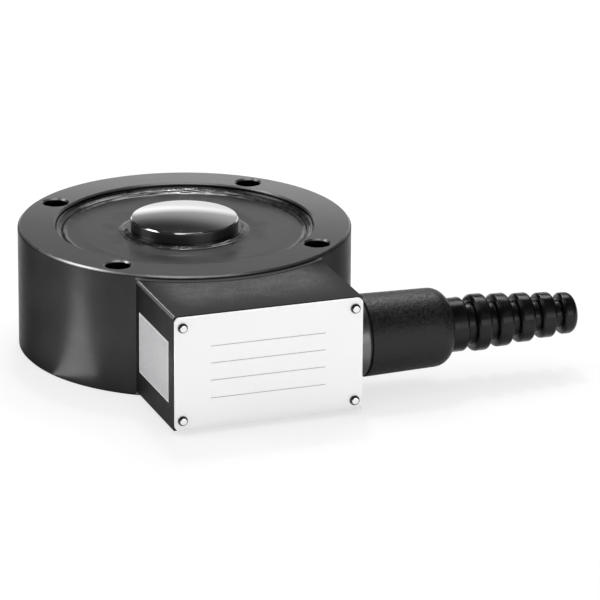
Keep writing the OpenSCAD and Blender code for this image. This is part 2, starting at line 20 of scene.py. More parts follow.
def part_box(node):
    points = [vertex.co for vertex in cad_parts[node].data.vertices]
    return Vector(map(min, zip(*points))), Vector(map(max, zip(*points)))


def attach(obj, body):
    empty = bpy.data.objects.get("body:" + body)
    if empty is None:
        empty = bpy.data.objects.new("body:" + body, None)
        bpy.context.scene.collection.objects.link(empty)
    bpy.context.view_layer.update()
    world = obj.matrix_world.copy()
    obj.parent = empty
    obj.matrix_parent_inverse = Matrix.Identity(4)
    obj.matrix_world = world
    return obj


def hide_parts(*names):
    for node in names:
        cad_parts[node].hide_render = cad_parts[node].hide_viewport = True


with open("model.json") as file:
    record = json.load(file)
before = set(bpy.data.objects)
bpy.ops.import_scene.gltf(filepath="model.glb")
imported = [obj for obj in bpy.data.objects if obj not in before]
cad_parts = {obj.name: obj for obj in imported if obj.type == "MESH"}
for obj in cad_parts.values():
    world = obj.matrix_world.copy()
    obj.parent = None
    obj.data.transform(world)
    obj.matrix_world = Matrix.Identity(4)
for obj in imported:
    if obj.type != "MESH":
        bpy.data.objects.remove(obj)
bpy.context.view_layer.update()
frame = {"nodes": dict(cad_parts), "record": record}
cad = frame["nodes"]

# %% [markdown]
# ## Sizes
#
# The CAD model gives the places. A number could be typed in again here, but then it
# would go wrong as soon as the model changed, so most sizes are read from the boxes of
# the nodes. The few that no box gives repeat the CAD model's values. Lengths on the
# object are millimetres, and `MM` turns them into Blender's metres at the last moment.

# %% Sizes read from the CAD boxes
MM = 0.001


def box_mm(node):
    """Lowest and highest corner of a CAD node, in millimetres."""
    low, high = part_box(node)
    return np.array(low) / MM, np.array(high) / MM


_, ring_high = box_mm("spring_element")
ring_r, ring_h = ring_high[0], round(ring_high[2], 3)
rim_low, rim_high = box_mm("rim_sealant")
foot_low, foot_high = box_mm("button_sealant")
button_low, button_high = box_mm("load_button")
block_low, block_high = box_mm("junction_block")
plate_low, plate_high = box_mm("cover_plate")
_, screws_high = box_mm("plate_screws")
label_low, label_high = box_mm("side_label")
collar_low, collar_high = box_mm("gland_collar")
seal_low, seal_high = box_mm("collar_seal")
housing_low, housing_high = box_mm("gland_housing")
boot_low, boot_high = box_mm("strain_relief")
holes = next(m["dims"] for m in frame["record"]["mounts"] if m["name"] == "mounting_holes")

GLAND_CENTRE = (0.0, (housing_low[1] + housing_high[1]) / 2, (housing_low[2] + housing_high[2]) / 2)
ON_GLAND = {"centre": GLAND_CENTRE, "turn": (0.0, math.pi / 2, 0.0)}
BOSS_R, BOSS_DROP, WALL_H = 20.5, 1.8, 4.0
BOSS_Z = ring_h - BOSS_DROP
WALL_TOP = BOSS_Z + WALL_H
PLATE_W, PLATE_H = plate_high[0] - plate_low[0], plate_high[2] - plate_low[2]
PLATE_MIDDLE = (plate_low[2] + plate_high[2]) / 2
SCREW_INSET, SCREW_DROP = 2.8, 3.6
SCREW_X, SCREW_Z = PLATE_W / 2 - SCREW_INSET, PLATE_H / 2 - SCREW_DROP
print("ring radius", round(ring_r, 2), "height", ring_h, "gland axis", GLAND_CENTRE[1:])

# %% [markdown]
# ## Camera
#
# The photographer stood a little to the left of the block's front and looked down by
# about nineteen degrees, through a long lens. The numbers come from fitting a pinhole
# camera to the outlines in the photograph. A camera could also be aimed with a
# constraint at the object's middle, but a fitted position keeps every edge where the
# photograph has it.

# %% Camera from a fitted position
def in_scene(name, data):
    """A new object in the scene, for a camera, a mesh or a lamp."""
    thing = bpy.data.objects.new(name, data)
    bpy.context.scene.collection.objects.link(thing)
    return thing


VIEW_AZIMUTH, VIEW_ELEVATION, VIEW_ROLL = map(math.radians, (-20.077, 19.283, 0.430))
FOCAL_PIXELS, IMAGE_PIXELS, SENSOR = 4579.0, 600.0, 36.0
SIDE_SHIFT, HEIGHT_SHIFT, DISTANCE = -41.818, -14.594, 1661.27

look = Vector((-math.sin(VIEW_AZIMUTH) * math.cos(VIEW_ELEVATION),
               math.cos(VIEW_AZIMUTH) * math.cos(VIEW_ELEVATION),
               -math.sin(VIEW_ELEVATION)))
level = Vector((math.cos(VIEW_AZIMUTH), math.sin(VIEW_AZIMUTH), 0))
upright = level.cross(look)
right = math.cos(VIEW_ROLL) * level + math.sin(VIEW_ROLL) * upright
up = math.cos(VIEW_ROLL) * upright - math.sin(VIEW_ROLL) * level
eye = -(SIDE_SHIFT * right + HEIGHT_SHIFT * up + DISTANCE * look) * MM

camera = in_scene("photo_camera", bpy.data.cameras.new("photo_camera"))
bpy.context.scene.camera = camera
camera.data.sensor_width = SENSOR
camera.data.lens = FOCAL_PIXELS / IMAGE_PIXELS * SENSOR
camera.data.clip_end = 50
camera.matrix_world = Matrix.Translation(eye) @ Matrix((right, up, -look)).transposed().to_4x4()
print("camera at", [round(c, 3) for c in eye], "lens", round(camera.data.lens, 1))

# %% [markdown]
# ## Node helpers
#
# A shader is a graph of nodes. Writing each node and link in full takes many lines, so
# small functions do it. Most add one thing to a tree, such as a calculation or a noise,
# and return the socket that holds the result.

# %% Helpers that add nodes
def fill(tree, sockets, values):
    """Links the values that are sockets to the sockets of their names, and sets the others."""
    for key, value in values.items():
        if isinstance(value, bpy.types.NodeSocket):
            tree.links.new(value, sockets[key])
        else:
            sockets[key].default_value = value


def add(tree, kind, inputs=None, **settings):
    """Adds a shader node, sets its options, and fills its inputs with numbers or links."""
    node = tree.nodes.new("ShaderNode" + kind)
    for key, value in settings.items():
        setattr(node, key, value)
    fill(tree, node.inputs, inputs or {})
    return node


def calc(tree, operation, *values, clamp=False):
    """Adds one Math node on the given numbers or sockets, and returns its result."""
    inputs = dict(enumerate(values))
    return add(tree, "Math", inputs, operation=operation, use_clamp=clamp).outputs[0]


def product(tree, value, *others):
    """The product of all the given numbers or sockets."""
    for other in others:
        value = calc(tree, "MULTIPLY", value, other)
    return value


def apart(tree, value, place):
    """How far a value lies from a place, to either side: the size of their difference."""
    return calc(tree, "ABSOLUTE", calc(tree, "SUBTRACT", value, place))


def between(tree, value, low, high):
    """1 where a value lies between two numbers, and 0 elsewhere."""
    return product(tree, calc(tree, "GREATER_THAN", value, low), calc(tree, "LESS_THAN", value, high))


def ramp(tree, value, low, high, to_low=0.0, to_high=1.0):
    """Maps low..high to to_low..to_high with soft ends."""
    inputs = {"Value": value, "From Min": low, "From Max": high, "To Min": to_low, "To Max": to_high}
    return add(tree, "MapRange", inputs, interpolation_type="SMOOTHSTEP").outputs["Result"]


def split(tree, vector):
    """The X, Y and Z of a vector."""
    return add(tree, "SeparateXYZ", {0: vector}).outputs


def join(tree, *values):
    """A vector from its X, Y and Z. What isn't given is 0."""
    return add(tree, "CombineXYZ", dict(enumerate(values))).outputs[0]


def vector_calc(tree, operation, *values, result=0):
    """Adds one Vector Math node on the given vectors, and returns one of its results."""
    inputs = dict(enumerate(values))
    return add(tree, "VectorMath", inputs, operation=operation).outputs[result]


def length_of(tree, vector):
    """The length of a vector."""
    return vector_calc(tree, "LENGTH", vector, result="Value")


def reach_along(tree, vector, direction):
    """How far a vector reaches along a unit direction: their dot product."""
    return vector_calc(tree, "DOT_PRODUCT", vector, direction, result="Value")


def times(tree, vector, factor):
    """A vector times a number."""
    inputs = {0: vector, "Scale": factor}
    return add(tree, "VectorMath", inputs, operation="SCALE").outputs[0]


def noise(tree, place, scale, detail, roughness=0.5, distortion=0.0, dimensions="3D"):
    """Adds one Noise Texture, and returns its value, which lies between 0 and 1."""
    inputs = {"Vector": place, "Scale": scale, "Detail": detail, "Roughness": roughness,
              "Distortion": distortion}
    return add(tree, "TexNoise", inputs, noise_dimensions=dimensions).outputs[0]


def grey(value, blue=0.0):
    """A grey as a colour, with a little more blue where that is given."""
    return value, value, value + blue


def blend_colours(tree, mask, first, second):
    """Goes from the first colour to the second as the mask goes from 0 to 1."""
    first, second = ((*c, 1.0) if isinstance(c, tuple) else c for c in (first, second))
    return add(tree, "Mix", {0: mask, 6: first, 7: second}, data_type="RGBA").outputs[2]


def open_group(name, inputs, outputs):
    """A new node group, with its tree, the sockets given to it and those it puts out."""
    tree = bpy.data.node_groups.new(name, "ShaderNodeTree")
    for label, default in inputs.items():
        kind = "NodeSocketVector" if default is None else "NodeSocketFloat"
        socket = tree.interface.new_socket(label, in_out="INPUT", socket_type=kind)
        if default is not None:
            socket.default_value = default
    for label in outputs:
        kind = "NodeSocketVector" if label == "Normal" else "NodeSocketFloat"
        tree.interface.new_socket(label, in_out="OUTPUT", socket_type=kind)
    return tree, tree.nodes.new("NodeGroupInput").outputs, tree.nodes.new("NodeGroupOutput").inputs


# %% [markdown]
# ## Effects that several finishes share
#
# Machined metal carries the marks of its making. On a turned piece they run round the
# axis, so the pattern depends only on the radius and the place along the axis. On a
# milled or ground piece they are straight. Paint has grain, and dust and handling leave
# soft blotches. Each effect is a group that puts out numbers or normals only, and the
# finish decides what they do.
#
# Grooves finer than a pixel spread a highlight across their own direction, which draws
# the bow-tie of light on a turned disc. Anisotropy on the shader would do it too. Here
# a noise leans the normal across the groove, since a leaned normal can be baked.

# %% Turned marks, which depend on radius and place along the axis
tree, given, result = open_group("turned marks", {"Vector": None, "Pitch": 0.3}, ["Height", "Mask"])
parts = split(tree, given["Vector"])
radius = length_of(tree, join(tree, parts["X"], parts["Y"]))
fine, onward = (calc(tree, "DIVIDE", value, given["Pitch"]) for value in (radius, parts["Z"]))
place = join(tree, fine, onward)
slow = noise(tree, place, 0.06, 2.0, dimensions="2D")
fill(tree, result, {"Height": noise(tree, place, 1.0, 3.0, 0.7, dimensions="2D"),
                    "Mask": ramp(tree, slow, 0.35, 0.65)})
TURNED = tree

# %% Straight brushing, drawn out along the local X axis
inputs = {"Vector": None, "Pitch": 0.2, "Length": 20.0}
tree, given, result = open_group("brushed lines", inputs, ["Height"])
parts = split(tree, given["Vector"])
steps = (("X", "Length"), ("Y", "Pitch"), ("Z", "Pitch"))
place = join(tree, *(calc(tree, "DIVIDE", parts[axis], given[step]) for axis, step in steps))
fill(tree, result, {"Height": noise(tree, place, 1.0, 3.0, 0.65)})
BRUSHED = tree

# %% Normals leaned by fine grooves
inputs = {"Normal": None, "Groove": None, "Height": 0.5, "Lean": 0.2}
tree, given, result = open_group("groove normals", inputs, ["Normal"])
across = vector_calc(tree, "CROSS_PRODUCT", given["Normal"], given["Groove"])
lean = product(tree, calc(tree, "SUBTRACT", given["Height"], 0.5), given["Lean"])
leaned = vector_calc(tree, "ADD", given["Normal"], times(tree, across, lean))
fill(tree, result, {"Normal": vector_calc(tree, "NORMALIZE", leaned)})
GROOVES = tree

# %% Grain of a sprayed or moulded skin
tree, given, result = open_group("skin grain", {"Vector": None, "Size": 0.5}, ["Height", "Mask"])
place = times(tree, given["Vector"], calc(tree, "DIVIDE", 1.0, given["Size"]))
cells = noise(tree, place, 1.0, 4.0, 0.6)
fill(tree, result, {"Height": cells, "Mask": ramp(tree, cells, 0.38, 0.62)})
GRAIN = tree

# %% Soft blotches of dust and handling, with fine specks
tree, given, result = open_group("dust and handling", {"Vector": None, "Size": 12.0}, ["Mask", "Specks"])
place = times(tree, given["Vector"], calc(tree, "DIVIDE", 1.0, given["Size"]))
cloud, speck = noise(tree, place, 1.0, 3.0, 0.5, 0.2), noise(tree, place, 14.0, 2.0)
fill(tree, result, {"Mask": ramp(tree, cloud, 0.25, 0.8), "Specks": ramp(tree, speck, 0.58, 0.70)})
DUST = tree

# %% Wear along an edge, broken up by noise, which also draws painted edge highlights
inputs = {"Vector": None, "Distance": 0.0, "Width": 0.4, "Amount": 0.5}
tree, given, result = open_group("edge wear", inputs, ["Mask"])
broken = noise(tree, given["Vector"], 0.35, 6.0, 0.7)
reach = product(tree, given["Width"], calc(tree, "ADD", broken, 0.5))
near = calc(tree, "SUBTRACT", 1.0, calc(tree, "DIVIDE", given["Distance"], reach), clamp=True)
fill(tree, result, {"Mask": calc(tree, "MULTIPLY", near, given["Amount"], clamp=True)})
EDGE_WEAR_AND_HIGHLIGHT = tree

# %% [markdown]
# ## A finish in one call
#
# Every finish starts as a Principled BSDF. What is the same all over the surface is set
# on its sockets, and what varies comes in through a link. `local` gives the place on
# the surface in millimetres, measured from a centre and along chosen axes, so that a
# pattern can be lined up with the axis of a turned piece.

# %% Helpers for finishes
materials = {}


def set_sockets(tree, shader, **values):
    """Sets or links sockets of a Principled BSDF by their names in small letters."""
    for key, value in values.items():
        label = key.replace("_", " ").title().replace("Ior", "IOR")
        fill(tree, shader.inputs, {label: (*value, 1.0) if isinstance(value, tuple) else value})


def finish_of(name, **values):
    """A new material with one Principled BSDF, kept under its name in `materials`."""
    material = bpy.data.materials.new(name)
    material.use_nodes = True
    materials[name] = material
    shader = material.node_tree.nodes["Principled BSDF"]
    set_sockets(material.node_tree, shader, **values)
    return material.node_tree, shader


def local(tree, centre=(0.0, 0.0, 0.0), turn=(0.0, 0.0, 0.0)):
    """Object coordinates in millimetres from a centre, with turned axes."""
    inputs = {"Vector": add(tree, "TexCoord").outputs["Object"],
              "Location": Vector(centre) * MM, "Rotation": turn, "Scale": (MM,) * 3}
    return add(tree, "Mapping", inputs, vector_type="TEXTURE").outputs[0]


def use(tree, group, **values):
    """Places a shared effect in a material, with its own values."""
    return add(tree, "Group", values, node_tree=group).outputs


def bump(tree, shader, height, depth):
    """Turns a height into a normal. Depth is in millimetres."""
    node = add(tree, "Bump", {"Strength": 1.0, "Distance": depth * MM, "Height": height})
    set_sockets(tree, shader, normal=node.outputs[0])


def grooved(tree, shader, height, lean, straight=None):
    """Leans the normal across fine grooves: straight ones, or else rings round the Z axis."""
    if straight:
        groove = join(tree, *straight)
    else:
        spoke = add(tree, "TexCoord").outputs["Object"]
        groove = vector_calc(tree, "NORMALIZE", vector_calc(tree, "CROSS_PRODUCT", (0.0, 0.0, 1.0), spoke))
    normal = add(tree, "NewGeometry").outputs["Normal"]
    leaned = use(tree, GROOVES, Normal=normal, Groove=groove, Height=height, Lean=lean)
    set_sockets(tree, shader, normal=leaned["Normal"])


# %% [markdown]
# ## Blackened steel of the ring
#
# The ring is turned from steel and blackened. Its faces show faint rings from the lathe,
# and its outer edge, the edge of its step and the mouths of its holes have lost some of
# their black. Their pale colour grows towards the front left as a painted highlight. Just
# above the block, a band of the ring's side is painted pale grey and isn't metal: painted
# light where that side would mirror the dark block top.
#
# The black is treated as a dark metal that mirrors about four parts in a hundred, and its
# specular tint keeps the steep sides from going pale. On the oiled top a coat gives it a
# stronger shine at a low angle. An image could be wrapped round the ring, but the marks
# depend only on radius and height, so a formula leaves no seam.

# %% Ring finish
IN_FROM_SIDE, OUT_FROM_HOLE, DOWN_FROM_TOP = 0.4, 0.25, 0.2
FRONT_LEFT = (-0.71, -0.71, 0.0)
tree, shader = finish_of("body_black", metallic=1.0, specular_tint=grey(0.44), coat_roughness=0.18,
                         coat_ior=1.7)
place = local(tree)
turned = use(tree, TURNED, Vector=place, Pitch=0.13)
dust = use(tree, DUST, Vector=place, Size=14.0)
parts = split(tree, place)
flat = join(tree, parts["X"], parts["Y"])
radius = length_of(tree, flat)
hole_xy = holes["pcd_mm"] / 2 * math.sin(math.pi / 4)
aside, beyond = (calc(tree, "SUBTRACT", calc(tree, "ABSOLUTE", parts[axis]), hole_xy) for axis in "XY")
to_side = apart(tree, radius, ring_r - IN_FROM_SIDE)
to_step = apart(tree, radius, rim_high[0])
to_hole = apart(tree, length_of(tree, join(tree, aside, beyond)), holes["hole_r_mm"] + OUT_FROM_HOLE)
nearest = calc(tree, "MINIMUM", calc(tree, "MINIMUM", to_side, to_step), to_hole)
to_edge = calc(tree, "ADD", nearest, apart(tree, parts["Z"], ring_h - DOWN_FROM_TOP))
# Painted highlight: the pale worn colour of the edges grows towards the front left.
front_left_highlight = ramp(tree, reach_along(tree, flat, FRONT_LEFT), 0.2 * ring_r, 0.9 * ring_r, 0.6, 1.0)
wear_and_highlight = use(tree, EDGE_WEAR_AND_HIGHLIGHT, Vector=place, Distance=to_edge, Width=0.85, Amount=front_left_highlight)
# Painted light: a pale grey band, not metal, on the ring's side just above the block.
over_block = product(tree, between(tree, parts["X"], block_low[0], block_high[0]),
                     calc(tree, "LESS_THAN", parts["Y"], -0.5 * ring_r),
                     calc(tree, "GREATER_THAN", radius, ring_r - 1.0))
painted_light_band = product(tree, over_block, ramp(tree, parts["Z"], block_high[2] + 1.0, block_high[2] + 0.5))
black = blend_colours(tree, dust["Mask"], grey(0.036, 0.001), grey(0.046, 0.001))
dust_and_painted_light = blend_colours(tree, painted_light_band, black, grey(0.18))
oiled = calc(tree, "GREATER_THAN", parts["Z"], ring_h - 0.05)
boss_top = product(tree, calc(tree, "GREATER_THAN", parts["Z"], BOSS_Z - 0.4),
                   calc(tree, "LESS_THAN", radius, BOSS_R + 0.5))
set_sockets(tree, shader,
            base_color=blend_colours(tree, wear_and_highlight["Mask"], dust_and_painted_light, grey(0.78, 0.01)),
            metallic=calc(tree, "SUBTRACT", 1.0, painted_light_band),
            roughness=ramp(tree, turned["Mask"], 0.0, 1.0, 0.29, 0.31),
            coat_weight=calc(tree, "MAXIMUM", oiled, boss_top))
grooved(tree, shader, turned["Height"], calc(tree, "MULTIPLY_ADD", oiled, 0.5, 0.1))

# %% [markdown]
# ## Diaphragm
#
# The thin disc is black and keeps its turned marks, which draw soft patches of light
# across it. Round the button's foot, sealant was wiped out over it and left a dull smear
# with a ragged border. The border lies where the distance from the part's origin plus a
# soft noise passes a set value. It could be painted by hand, but noise is repeatable.

# %% Diaphragm finish
SMEAR_INNER, SMEAR_OUTER, RAGGED_BY = 49.5, 54.5, 5.0
tree, shader = finish_of("diaphragm_paint", ior=1.5)
place = local(tree)
turned = use(tree, TURNED, Vector=place, Pitch=0.13)
dust = use(tree, DUST, Vector=place, Size=9.0)
ragged = calc(tree, "MULTIPLY_ADD", dust["Mask"], RAGGED_BY, length_of(tree, place))
smear = ramp(tree, ragged, SMEAR_OUTER, SMEAR_INNER)
plain = ramp(tree, dust["Mask"], 0.0, 1.0, 0.30, 0.34)
set_sockets(tree, shader, base_color=blend_colours(tree, dust["Mask"], grey(0.006), grey(0.014)),
            roughness=calc(tree, "MULTIPLY_ADD", smear, 0.2, plain))
grooved(tree, shader, turned["Height"], 0.9)

# %% [markdown]
# ## Brushed and painted block
#
# The junction block was brushed along its length before it was painted black. Its top is
# painted lighter towards the ring and away from both ends, as painted light, broken up by
# streaks, clouds and specks of dust. The top edge at its left is pale: wear, and a painted
# highlight. Where the painted light lies is a product of ramps along X and Y. It could be
# painted by hand, but ramps follow the block's size.

# %% Block finish
LIGHTEST_TOP_Y, END_FADE_WIDTH = -64.0, 14.0
tree, shader = finish_of("block_paint", ior=1.2, specular_tint=grey(0.6))
place = local(tree)
brushed = use(tree, BRUSHED, Vector=place, Pitch=0.22, Length=24.0)
dust = use(tree, DUST, Vector=place, Size=7.0)
parts = split(tree, place)
top_face = calc(tree, "GREATER_THAN", parts["Z"], block_high[2] - 0.05)
mid_x, half_x = (block_low[0] + block_high[0]) / 2, (block_high[0] - block_low[0]) / 2
# Painted light: the top is lighter towards the ring and away from both ends; streaks, clouds and specks of
# dust break it up.
lighter_to_ring = ramp(tree, parts["Y"], block_low[1], LIGHTEST_TOP_Y)
lighter_away_from_ends = ramp(tree, apart(tree, parts["X"], mid_x), half_x, half_x - END_FADE_WIDTH)
painted_light_on_top = product(tree, lighter_to_ring, lighter_away_from_ends, top_face)
streaks = ramp(tree, brushed["Height"], 0.35, 0.65, 0.75, 1.2)
clouds = ramp(tree, dust["Mask"], 0.0, 1.0, 0.7, 1.25)
side = blend_colours(tree, dust["Mask"], grey(0.036, 0.001), grey(0.050, 0.001))
black = blend_colours(tree, top_face, side, grey(0.014))
dust_and_painted_light = blend_colours(tree, product(tree, painted_light_on_top, streaks, clouds), black, grey(0.080, 0.001))
dotted = blend_colours(tree, product(tree, dust["Specks"], painted_light_on_top, 0.7), dust_and_painted_light, grey(0.34))
# Wear and painted highlight: the top edge at the left is pale.
to_edge = calc(tree, "ADD", apart(tree, parts["X"], block_low[0]), apart(tree, parts["Z"], block_high[2]))
wear_and_highlight = use(tree, EDGE_WEAR_AND_HIGHLIGHT, Vector=place, Distance=to_edge, Width=1.0, Amount=1.0)
set_sockets(tree, shader,
            base_color=blend_colours(tree, wear_and_highlight["Mask"], dotted, grey(0.62, 0.01)),
            metallic=calc(tree, "SUBTRACT", 1.0, top_face),
            roughness=ramp(tree, brushed["Height"], 0.3, 0.7, 0.34, 0.46))
grooved(tree, shader, brushed["Height"], 0.2, straight=(1.0, 0.0, 0.0))

# %% [markdown]
# ## Bright metals
#
# A polished surface shows its surroundings, so most of its look comes from the light.
# The finish adds what keeps it from being a perfect mirror: faint rings from the lathe
# or lines from the brush, and a roughness that wanders a little. An image of scratches
# would do too, but has to be stretched over each piece. The button's face is polished and
# its wall rougher, with a darker colour painted on the wall as painted shade. The plate's
# screws have a painted dark rim: their finish goes dark with the distance from the
# screw's own axis, as painted shade on the curved rims of the heads.

# %% Polished button, turned collar and the screws
def bright_metal(name, colour, marks, pitch, depth, rough, **axes):
    """A metal whose marks come from a shared group, with a roughness that follows them."""
    tree, shader = finish_of(name, metallic=1.0, base_color=colour)
    place = local(tree, **axes)
    lines = use(tree, marks, Vector=place, Pitch=pitch)
    set_sockets(tree, shader, roughness=ramp(tree, lines["Height"], 0.25, 0.75, *rough))
    bump(tree, shader, lines["Height"], depth)
    return tree, shader, place


tree, shader = finish_of("button_chrome", metallic=1.0)
# Painted shade: the wall below the face is painted a darker colour; its higher roughness is its own.
face_above_wall = ramp(tree, split(tree, local(tree))["Z"], WALL_TOP - 0.5, WALL_TOP - 0.3)
set_sockets(tree, shader, base_color=blend_colours(tree, face_above_wall, grey(0.20, 0.005), grey(0.80, 0.01)),
            roughness=ramp(tree, face_above_wall, 0.0, 1.0, 0.30, 0.08))

tree, shader, place = bright_metal("plate_screw_steel", grey(0.85), BRUSHED, 0.4, 0.004, (0.16, 0.26))
parts = split(tree, place)
off_x = calc(tree, "SUBTRACT", calc(tree, "ABSOLUTE", parts["X"]), SCREW_X)
off_z = calc(tree, "SUBTRACT", apart(tree, parts["Z"], PLATE_MIDDLE), SCREW_Z)
# Painted shade: each screw head is painted dark round its rim.
painted_dark_rim = ramp(tree, length_of(tree, join(tree, off_x, off_z)), 1.05, 1.4)
set_sockets(tree, shader, base_color=blend_colours(tree, painted_dark_rim, grey(0.85), grey(0.05)))

bright_metal("collar_metal", grey(0.16, 0.005), TURNED, 0.35, 0.01, (0.26, 0.46), **ON_GLAND)
bright_metal("cover_steel", grey(0.55, 0.01), TURNED, 0.5, 0.006, (0.30, 0.44))
bright_metal("screw_steel", grey(0.70, 0.01), BRUSHED, 0.3, 0.004, (0.24, 0.36))
bright_metal("terminal_copper", (0.72, 0.48, 0.30), BRUSHED, 0.3, 0.004, (0.30, 0.44))
bright_metal("screw_black", grey(0.06), BRUSHED, 0.3, 0.004, (0.34, 0.46))
print("finishes so far:", sorted(materials))

# %% [markdown]
# ## Cover plate
#
# The plate is bare aluminium, brushed along its length, with four thin ruled lines. They
# could be raised strips, but ink has no thickness to speak of, so they are drawn in the
# finish, at shares of the plate's height.

# %% Plate finish
RULE_HEIGHTS, RULE_HALF = (0.275, 0.426, 0.579, 0.737), 0.14
RULE_FROM, RULE_TO = plate_low[0] + 0.19 * PLATE_W, plate_low[0] + 0.80 * PLATE_W
tree, shader, place = bright_metal("plate_aluminium", grey(0.93), BRUSHED, 0.16, 0.003, (0.34, 0.48))
parts = split(tree, place)
ruled = 0.0
for share in RULE_HEIGHTS:
    line = calc(tree, "COMPARE", parts["Z"], plate_high[2] - share * PLATE_H, RULE_HALF)
    ruled = calc(tree, "MAXIMUM", ruled, line)
ink = product(tree, ruled, between(tree, parts["X"], RULE_FROM, RULE_TO), 0.7)
set_sockets(tree, shader, metallic=0.35, base_color=blend_colours(tree, ink, grey(0.98), grey(0.16)))

# %% [markdown]
# ## Sealant, rubber, paint, film and the pieces inside
#
# Sealant is black, wet-looking and uneven. The housing has a matte skin of fine grain,
# and the boot a glossy moulded one. The label is a plain grey film with a thin paler
# border. The pieces inside show only when the model is taken apart, but each has its own
# finish. One plain value would look dead, so each wanders between two by a noise.

# %% Soft and small finishes
def soft_finish(name, dark, light, rough, size, depth, ior=1.5, **axes):
    """A dielectric whose colour and roughness wander between two values."""
    tree, shader = finish_of(name, ior=ior)
    place = local(tree, **axes)
    grain = use(tree, GRAIN, Vector=place, Size=size)
    set_sockets(tree, shader, base_color=blend_colours(tree, grain["Mask"], dark, light),
                roughness=ramp(tree, grain["Height"], 0.3, 0.7, *rough))
    bump(tree, shader, grain["Height"], depth)
    return tree, shader, place


soft_finish("sealant", grey(0.008), grey(0.022), (0.14, 0.26), 2.4, 0.05)
soft_finish("gasket", grey(0.012), grey(0.022), (0.55, 0.70), 0.8, 0.02)
soft_finish("seal_rubber", grey(0.016), grey(0.026), (0.45, 0.60), 0.8, 0.02)
soft_finish("wire_red", (0.42, 0.03, 0.02), (0.55, 0.05, 0.03), (0.35, 0.45), 1.2, 0.01)
soft_finish("board_green", (0.02, 0.16, 0.05), (0.03, 0.22, 0.08), (0.30, 0.40), 1.5, 0.01)
soft_finish("resistor_ceramic", (0.55, 0.44, 0.27), (0.62, 0.50, 0.32), (0.35, 0.50), 0.8, 0.01)
soft_finish("gauge_foil", (0.55, 0.30, 0.08), (0.70, 0.40, 0.14), (0.25, 0.35), 0.6, 0.005)
soft_finish("housing_paint", grey(0.003), grey(0.011), (0.32, 0.56), 1.0, 0.2, ior=1.42, **ON_GLAND)

tree, shader = finish_of("boot_rubber", metallic=0.8, specular_tint=grey(0.9))
place = local(tree, **ON_GLAND)
dust = use(tree, DUST, Vector=place, Size=5.0)
set_sockets(tree, shader, base_color=blend_colours(tree, dust["Mask"], grey(0.018), grey(0.026)),
            roughness=ramp(tree, dust["Mask"], 0.0, 1.0, 0.20, 0.34))
bump(tree, shader, use(tree, GRAIN, Vector=place, Size=0.9)["Height"], 0.02)

BORDER = 0.5
film = grey(0.46, 0.01), grey(0.52, 0.01)
tree, shader, place = soft_finish("label_film", *film, (0.38, 0.5), 1.0, 0.004)
parts = split(tree, place)
middle, half = (label_low + label_high) / 2, (label_high - label_low) / 2
inwards = [calc(tree, "SUBTRACT", half[i], apart(tree, parts["XYZ"[i]], middle[i])) for i in (1, 2)]
border = calc(tree, "LESS_THAN", calc(tree, "MINIMUM", *inwards), BORDER)
plain = shader.inputs["Base Color"].links[0].from_socket
set_sockets(tree, shader, base_color=blend_colours(tree, border, plain, grey(0.70, 0.01)))
print("finishes:", len(materials))

# %% [markdown]
# ## Surfaces from numbers
#
# A turned piece is a profile swept round an axis. The profile is given as corner points
# with a radius at each corner, `rounded` turns the corners into arcs, `turned_places`
# sweeps the outline, and `grid_mesh` lays faces over the points. Blender's Spin tool or a
# Screw modifier would do the same, but whole arrays are quick and leave no modifier.

# %% Profiles and swept meshes
def rounded(points, radii, steps=7):
    """Replaces each corner of an outline by an arc.

    At a corner with unit directions a in and b out, the turn is the angle between them.
    The arc of radius r starts r tan(turn / 2) before the corner, and its centre lies
    r / cos(turn / 2) from the corner along b - a. Ends keep a radius of zero.
    """
    points, radii = np.array(points, float), np.array(radii, float)[:, None]
    ahead = np.roll(points, -1, 0) - points
    ahead[-1] = points[-1] - points[-2]
    ahead /= np.linalg.norm(ahead, axis=1, keepdims=True)
    behind = np.roll(ahead, 1, 0)
    behind[0] = ahead[0]
    cross = behind[:, :1] * ahead[:, 1:] - behind[:, 1:] * ahead[:, :1]
    turn = np.arctan2(cross, (behind * ahead).sum(1, keepdims=True))
    start = points - behind * radii * np.tan(np.abs(turn) / 2)
    side = np.sign(turn) * np.stack([-behind[:, 1], behind[:, 0]], 1)
    centre = start + side * radii
    angle = turn * np.linspace(0, 1, steps)[None, :]
    spoke = start - centre
    x = centre[:, :1] + spoke[:, :1] * np.cos(angle) - spoke[:, 1:] * np.sin(angle)
    y = centre[:, 1:] + spoke[:, :1] * np.sin(angle) + spoke[:, 1:] * np.cos(angle)
    path = np.stack([x.ravel(), y.ravel()], 1)
    gap = np.linalg.norm(np.diff(path, axis=0), axis=1)
    return path[np.concatenate([[True], gap > 1e-6])]


def grid_mesh(name, places, closed=False, sharp=35.0):
    """Makes a mesh from a grid of places in millimetres, one quad for each grid square.

    The last column joins the first, and in a closed grid the last row does too. Points
    that fall together at a pole are merged, and the faces are turned outwards.
    """
    rows, columns = places.shape[:2]
    u = np.arange(rows if closed else rows - 1)[:, None]
    v = np.arange(columns)[None, :]
    u2, v2 = (u + 1) % rows, (v + 1) % columns
    quads = np.stack(np.broadcast_arrays(u * columns + v, u2 * columns + v, u2 * columns + v2,
                                         u * columns + v2), -1).reshape(-1, 4)
    mesh = bpy.data.meshes.new(name)
    mesh.from_pydata((places.reshape(-1, 3) * MM).tolist(), [], quads.tolist())
    return finished_mesh(mesh, sharp)


